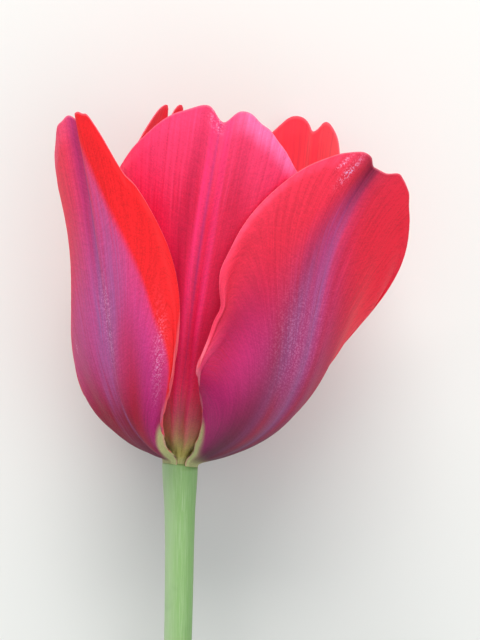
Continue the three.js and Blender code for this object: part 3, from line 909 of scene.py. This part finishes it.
# %% [markdown]
# ## The stem
# The stem comes down from the bloom to the surface in one easy curve, and is thicker under
# the bloom and at the cut. It ends in a slanted cut, and at the top in a short receptacle
# that the petals ring. Its skin is pale green with a bloom of wax and long fine fibres.

# %% Shape the stem
STEM_SIDES = 40
STEM_RUN = 208.0
STEM_DROP_RUN = 150.0
STEM_SWAY = -14.0
STEM_CUT = 0.45
STEM_STEP = 2.5
# distances of the rings from the bloom, closer together near it
STEM_RUNS = np.append(np.arange(STEM_RUN, 10.0, -STEM_STEP), [10.0, 8.0, 6.0, 4.0, 2.0, 0.5])
# distance from the bloom, radius
STEM_RADII = [
    (0.5, 3.95), (3, 3.85), (6, 3.65), (10, 3.4), (18, 3.2), (40, 3.05), (90, 3.1), (150, 3.5),
    (208, 3.9),
]
# height on the bloom's axis, radius
RECEPTACLE = [(-0.35, 3.85), (-0.2, 3.5), (0, 3.1), (0.4, 2.9), (1.25, 2.8), (1.3, 1.6), (2.4, 1.4)]


def stem_centre(run):
    """The middle of the stem at a distance from the bloom."""
    run = np.asarray(run, float)
    rest = STEM_RADII[-1][1]
    drop = np.where(run < STEM_DROP_RUN, (1 + np.cos(np.pi * run / STEM_DROP_RUN)) / 2, 0)
    x = BLOOM_FOOT[0] + STEM_SWAY * (run / STEM_RUN) ** 2
    return np.stack([x, BLOOM_FOOT[1] - run, rest + (BLOOM_FOOT[2] - rest) * drop], -1)


def stem_places(rings, turns):
    """Rings from the cut up to the bloom, and on up the receptacle."""
    on_stem = rings < len(STEM_RUNS)
    run = STEM_RUNS[np.minimum(rings, len(STEM_RUNS) - 1)]
    direction = stem_centre(run - 0.1) - stem_centre(run + 0.1)
    axis = np.array([math.sin(BLOOM_LEAN), math.cos(BLOOM_LEAN), 0.0])
    heights, radii = (np.array(v) for v in zip(*RECEPTACLE))
    k = np.clip(rings - len(STEM_RUNS), 0, len(RECEPTACLE) - 1)
    top = in_bloom(np.stack([0 * run, heights[k], 0 * run], -1))
    centre = np.where(on_stem[:, None], stem_centre(run), top)
    direction = np.where(on_stem[:, None], direction, axis)
    radius = np.where(on_stem, np.interp(run, *zip(*STEM_RADII)), radii[k])
    direction /= np.linalg.norm(direction, axis=1, keepdims=True)
    side = np.cross(direction, [0.0, 0.0, 1.0])
    side /= np.linalg.norm(side, axis=1, keepdims=True)
    over = np.cross(side, direction)
    spoke = np.cos(turns)[:, None] * side + np.sin(turns)[:, None] * over
    points = centre + radius[:, None] * spoke
    points[:, 1] -= np.where(rings == 0, (centre[:, 2] - points[:, 2]) * STEM_CUT, 0)
    return points


stem_ring_count = len(STEM_RUNS) + len(RECEPTACLE)
stem_mesh, rings, turns = stalk("stem", STEM_SIDES, stem_ring_count, stem_places)
keep(stem_mesh, {
    "round_x": np.cos(turns), "round_y": np.sin(turns), "height": rings / (stem_ring_count - 1),
})
print("stem rings:", stem_ring_count)


# %% [markdown]
# The fibres are noise read on a stretched coordinate: the turn round the stem counts far
# more than the place along it, so every blob of noise becomes a long thin streak.

# %% Paint the stem
STEM_GREEN = paint(140, 182, 108)
STEM_LIGHT = paint(176, 204, 154)
STEM_DEEP = paint(104, 150, 84)
STEM_TOP = paint(142, 184, 118)
JUICE = {
    "Subsurface Weight": 0.15, "Subsurface Radius": (0.6, 1.0, 0.4), "Subsurface Scale": 0.002,
}


def stem_skin():
    net = Finish("stem_skin")
    turn_x, turn_y, height = (net.reading(n) for n in ("round_x", "round_y", "height"))
    fibres = net.streaks(turn_x * 14.0, turn_y * 14.0, height * 28.0, detail=4.0, roughness=0.65)
    clouds = net.grain(90.0, detail=3.0)
    grain = net.grain(2200.0, detail=2.0)
    colour = net.mix(STEM_GREEN, STEM_LIGHT, fibres.within(0.4, 0.75) * 0.7)
    # painted light: the left side of the stem is lighter
    colour = net.mix(colour, STEM_LIGHT, (1 - turn_x.within(-0.9, 0.1)) * 0.8)
    colour = net.mix(colour, STEM_DEEP, clouds.within(0.5, 0.8) * 0.5)
    # painted shade: the right side of the stem is darker
    colour = net.mix(colour, STEM_DEEP, turn_x.within(0.1, 0.9) * 0.45)
    colour = net.mix(colour, STEM_TOP, height.within(0.93, 0.99))
    bump = net.bump(fibres * 0.7 + grain * 0.3, strength=0.3, distance=0.0002)
    return net.close(colour, 0.5, bump, more=JUICE)


stem_mesh.materials.append(stem_skin())
link("stem_skin", stem_mesh, ["stem"])


# %% [markdown]
# ## The leaf
# One long leaf clasps the stem, turns over and lies beside it. It is a blade like a petal,
# but its veins run straight from base to tip, and its skin is a blue-green under wax.

# %% Shape the leaf
LEAF_THICK = 0.9
LEAF_THIN_SHARE = 0.5
LEAF_THIN_FROM = 3.0
LEAF_NODE = 178.0  # distance from the bloom
LEAF_LENGTH = 132.0
LEAF_LINE_X = [0, 8.5, 23, 35, 44, 50, 53]
LEAF_LINE_Z = [0, -0.8, -2.9, -3.2, -3.1, 0.5, 7.5]
LEAF_FACE = [180, 158, 122, 102, 92, 88, 84]
LEAF_HALF_WIDTH = [4.4, 7.5, 13, 16.5, 15, 10, 1.2]
LEAF_CUP = [4.7, 10, 18, 26, 30, 26, 12]
LEAF_WAVE = (1.6, 2.5)
LEAF_GRID = (220, 60)
LEAF_VEINS = 26
LEAF_VEIN_HEIGHT = 0.06


def leaf_places(up, across):
    node = stem_centre(LEAF_NODE)
    arch = np.sqrt(np.maximum(0, 1 - np.abs(across) ** 2.2))
    share = up * (0.9 + 0.1 * arch)
    face = np.radians(along(LEAF_FACE, share))
    cup = along(LEAF_CUP, share)
    reach = along(LEAF_HALF_WIDTH, share) * across
    height, count = LEAF_WAVE
    wave = height * np.sin(2 * np.pi * count * share + np.where(across < 0, 2, 0))
    inwards = cup * (1 - np.cos(reach / cup)) + wave * across**4 * np.minimum(share * 3, 1)
    veins = LEAF_VEIN_HEIGHT * np.cos(np.pi * LEAF_VEINS * across) * (1 - across**6)
    inwards += veins * np.minimum(share * 5, 1)
    sideways = cup * np.sin(reach / cup)
    x = LEAF_CUP[0] + along(LEAF_LINE_X, share) + np.cos(face) * inwards + np.sin(face) * sideways
    z = along(LEAF_LINE_Z, share) + np.sin(face) * inwards - np.cos(face) * sideways
    return node + np.stack([x, LEAF_LENGTH * share, z], -1), share


leaf_mesh, up, across = blade_grid("leaf", *LEAF_GRID)
leaf_points, share = leaf_places(up, across)
leaf_points[:, 2] = np.maximum(leaf_points[:, 2], LEAF_THICK / 2)
settle(leaf_mesh, leaf_points)
to_margin = (1 - np.abs(across)) * along(LEAF_HALF_WIDTH, share)
leaf_rim = np.minimum(to_margin, (1 - up) * LEAF_LENGTH)
keep(leaf_mesh, {"across": across, "up": up, "rim": leaf_rim})
print("leaf length, mm:", LEAF_LENGTH)


# %% Paint the leaf
LEAF_GREEN = paint(98, 140, 104)
LEAF_WAX = paint(150, 182, 158)
LEAF_DEEP = paint(70, 112, 74)
LEAF_MARGIN = paint(176, 190, 140)


def leaf_skin(name, wax_amount):
    net = Finish(name)
    across, up = net.reading("across"), net.reading("up")
    veins = net.streaks(across * 40.0, up * 3.0, 2.0, detail=3.0)
    fine = net.streaks(across * 160.0, up * 8.0, 5.0, detail=2.0)
    clouds = net.grain(60.0, detail=3.0)
    colour = net.mix(LEAF_GREEN, LEAF_WAX, clouds.within(0.35, 0.75) * wax_amount)
    colour = net.mix(colour, LEAF_DEEP, veins.within(0.5, 0.75) * 0.7)
    colour = net.mix(colour, LEAF_MARGIN, 1 - net.reading("rim").within(0.1, 0.8))
    colour = net.shade(colour, fine * 0.3 + 0.85)
    bump = net.bump(veins * 0.5 + fine * 0.5, strength=0.4, distance=0.0002)
    return net.close(colour, 0.5, bump, through=0.12)


leaf_outside, leaf_inside = leaf_skin("leaf_outside", 0.9), leaf_skin("leaf_inside", 0.6)
for material in (leaf_outside, leaf_inside, leaf_inside):
    leaf_mesh.materials.append(material)
leaf_piece = link("leaf_skin", leaf_mesh, ["leaf"])
give_thickness(leaf_piece, LEAF_THICK, LEAF_THIN_SHARE, leaf_rim, LEAF_THIN_FROM)


# %% [markdown]
# ## The pistil
# In the middle of the bloom stands the ovary, a three-sided column of pale green, with the
# stigma on top: three lobes that curl outwards. It is one stalk whose radius swells and
# narrows, with three grooves that grow deep where the lobes part.

# %% Shape the pistil
OVARY_SIDES = 72
OVARY_RINGS = 60
# height on the bloom's axis, radius, depth of the three grooves
OVARY = [
    (4.1, 1.1, 0), (6, 1.6, 0.04), (9, 2.6, 0.08), (13.5, 3, 0.1), (18, 2.8, 0.1), (22.5, 2.2, 0.12),
    (24.5, 2.1, 0.2), (25.8, 3.1, 0.34), (27, 4.2, 0.42), (28, 4.0, 0.42), (28.4, 2.2, 0.3),
]


def pistil_places(rings, turns):
    heights, radii, grooves = (np.array(v, float) for v in zip(*OVARY))
    height = along(heights, rings / (OVARY_RINGS - 1))
    radius = np.interp(height, heights, radii)
    groove = np.interp(height, heights, grooves)
    lobes = (1 - np.cos(3 * turns)) / 2
    return in_bloom(around_axis(radius * (1 - groove * lobes), turns, height))


pistil_mesh, rings, _ = stalk("pistil", OVARY_SIDES, OVARY_RINGS, pistil_places)
keep(pistil_mesh, {"height": rings / (OVARY_RINGS - 1)})

OVARY_GREEN = paint(170, 190, 110)
OVARY_DEEP = paint(120, 150, 70)
STIGMA = paint(228, 214, 140)


def pistil_skin():
    net = Finish("pistil_skin")
    clouds = net.grain(500.0, detail=2.0, roughness=0.5)
    grain = net.grain(1800.0, detail=3.0)
    colour = net.mix(OVARY_GREEN, OVARY_DEEP, clouds * 0.6)
    colour = net.mix(colour, STIGMA, net.reading("height").within(0.72, 0.8))
    return net.close(colour, 0.55, net.bump(grain, strength=0.5, distance=0.0002))


pistil_mesh.materials.append(pistil_skin())
link("pistil_flesh", pistil_mesh, ["pistil"])


# %% [markdown]
# ## The stamens
# Six stamens ring the pistil: a dark filament that narrows to a point, and on it a long
# anther of two lobes, split along its middle and dusted with pollen.

# %% Shape the stamens
STAMEN_COUNT = 6
STAMEN_START = 12.0
# distance from the bloom's axis and height, from foot to tip
STAMEN_LINE = np.array([[1.7, 3.15], [4.9, 10], [6.3, 15.5], [6.9, 21], [7.3, 27.5]])
# height, radius
STAMEN_SEAT = [(2.7, 1.4), (3, 2.1), (3.5, 2.2), (3.75, 1.7)]
# share of the line, half width round the axis, half depth away from it
FILAMENT = [(0, 0.55, 0.55), (0.2, 0.75, 0.65), (0.44, 0.4, 0.4), (0.5, 0.35, 0.35)]
ANTHER = [
    (0.46, 0.5, 0.4), (0.48, 1.0, 0.85), (0.53, 1.5, 1.15), (0.66, 1.6, 1.2), (0.84, 1.45, 1.1),
    (0.95, 1.0, 0.8), (1, 0.4, 0.35),
]
# sections, sides, rings, depth of the split
STAMEN_PARTS = {"filaments": (FILAMENT, 16, 24, 0.0), "anthers": (ANTHER, 32, 40, 0.35)}


def stamen_line(share):
    return np.stack([along(STAMEN_LINE[:, k], share) for k in (0, 1)], -1)


def stamen_part(sections, sides, ring_count, split, azimuth):
    """The filament or the anther of one stamen."""
    shares, widths, depths = (np.array(v, float) for v in zip(*sections))

    def place(rings, turns):
        share = shares[0] + (shares[-1] - shares[0]) * rings / (ring_count - 1)
        foot = stamen_line(share)
        slope = stamen_line(share + 1e-3) - stamen_line(share - 1e-3)
        slope /= np.linalg.norm(slope, axis=1, keepdims=True)
        aside = np.cos(turns) * np.interp(share, shares, widths)
        lobed = 1 - split * np.abs(np.sin(turns)) ** 3
        out = np.sin(turns) * np.interp(share, shares, depths) * lobed
        core = around_axis(foot[:, 0] + out * slope[:, 1], azimuth, foot[:, 1] - out * slope[:, 0])
        return in_bloom(core + around_axis(aside, azimuth + math.pi / 2, 0 * aside))

    return stalk("stamen", sides, ring_count, place)[0]


def stamen_seat():
    heights, radii = (np.array(v) for v in zip(*STAMEN_SEAT))

    def place(rings, turns):
        return in_bloom(around_axis(radii[rings], turns, heights[rings]))

    return stalk("seat", 40, len(STAMEN_SEAT), place)[0]


def join(name, meshes):
    bm = bmesh.new()
    for mesh in meshes:
        bm.from_mesh(mesh)
        bpy.data.meshes.remove(mesh)
    return to_mesh(bm, name)


def stamen_skin(name, dark, light, scale, relief):
    net = Finish(name)
    grain = net.grain(scale, detail=3.0, roughness=0.65)
    colour = net.mix(dark, light, grain.within(0.4, 0.75))
    return net.close(colour, 0.7, net.bump(grain, strength=0.8, distance=relief))


azimuths = [math.radians(STAMEN_START + k * 360 / STAMEN_COUNT) for k in range(STAMEN_COUNT)]
stamen_skins = {
    "filaments": stamen_skin("filament_skin", paint(40, 26, 50), paint(96, 80, 70), 700.0, 0.0001),
    "anthers": stamen_skin("anther_skin", paint(28, 18, 34), paint(92, 66, 70), 2400.0, 0.0003),
}
for name, part in STAMEN_PARTS.items():
    meshes = [stamen_part(*part, azimuth) for azimuth in azimuths]
    if name == "filaments":
        meshes.append(stamen_seat())
    mesh = join(name, meshes)
    mesh.materials.append(stamen_skins[name])
    link(name, mesh, ["stamens"])
    print(name, "faces:", len(mesh.polygons))
